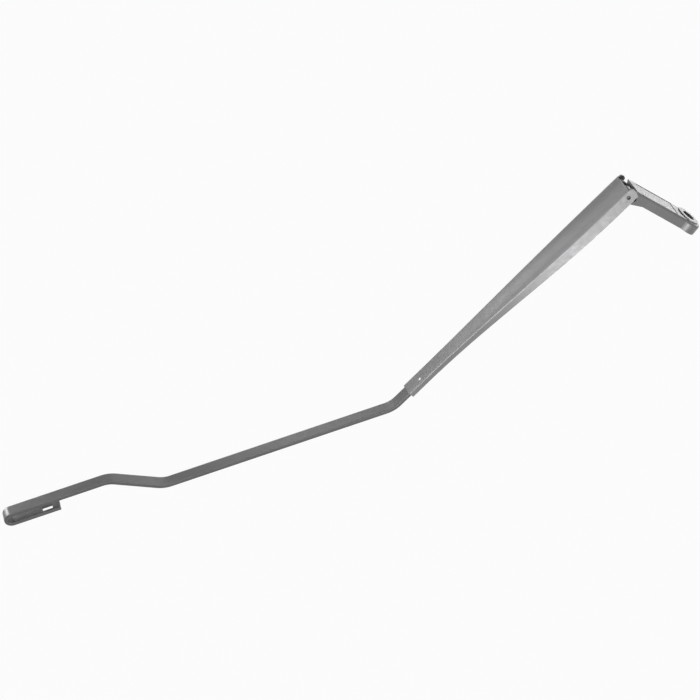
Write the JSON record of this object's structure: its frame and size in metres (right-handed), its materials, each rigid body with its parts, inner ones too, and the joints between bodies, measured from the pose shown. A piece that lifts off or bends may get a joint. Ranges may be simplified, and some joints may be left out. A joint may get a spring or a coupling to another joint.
{
  "type": "wiper arm",
  "caption": "Windscreen wiper arm: cast mounting head with a spindle eye, hinged tapered channel with a tension spring, and a joggled flat rod ending in a U-shaped hook.",
  "frame": {"origin": "on the axis of the spindle bore, at the underside of the mounting head", "axes": "+Z along the wiper spindle, away from the car; +X from the spindle towards the hinge; +Y completes a right-handed frame. The arm is stored as it lies off the car, folded 82 degrees towards the glass side"},
  "size_m": [0.2684, 0.0964, 0.4834],
  "materials": {
    "painted_cast_head": "satin silver-grey paint on a die casting",
    "painted_sheet": "satin silver-grey paint on pressed steel sheet",
    "painted_rod": "satin silver-grey paint on flat steel bar",
    "painted_rivet": "satin silver-grey paint",
    "pin_steel": "plain ground steel",
    "spring_wire": "zinc-plated spring wire",
    "bush_polymer": "moulded bearing polymer"
  },
  "bodies": {
    "head": {"mounting_head": "painted_cast_head", "hinge_bush_left": "bush_polymer", "hinge_bush_right": "bush_polymer", "spring_pin": "pin_steel"},
    "arm": {"arm_channel": "painted_sheet", "flat_rod": "painted_rod", "rod_rivet": "painted_rivet", "hinge_pin": "pin_steel", "tension_spring": "spring_wire"},
    "spring_link": {"draw_hook": "spring_wire"}
  },
  "joints": [
    {"name": "arm_fold", "type": "hinge", "parent": "head", "child": "arm", "pos_m": [0.066, 0, 0.0014], "axis": [0, -1, 0], "range_deg": [0, 135], "deforming": ["tension_spring"]},
    {"name": "hook_swing", "type": "hinge", "parent": "head", "child": "spring_link", "pos_m": [0.066, 0, -0.0028], "axis": [0, -1, 0], "range_deg": [0, 135]}
  ],
  "couplings": [
    {"joint": "hook_swing", "follows": "arm_fold", "ratio": 1}
  ]
}
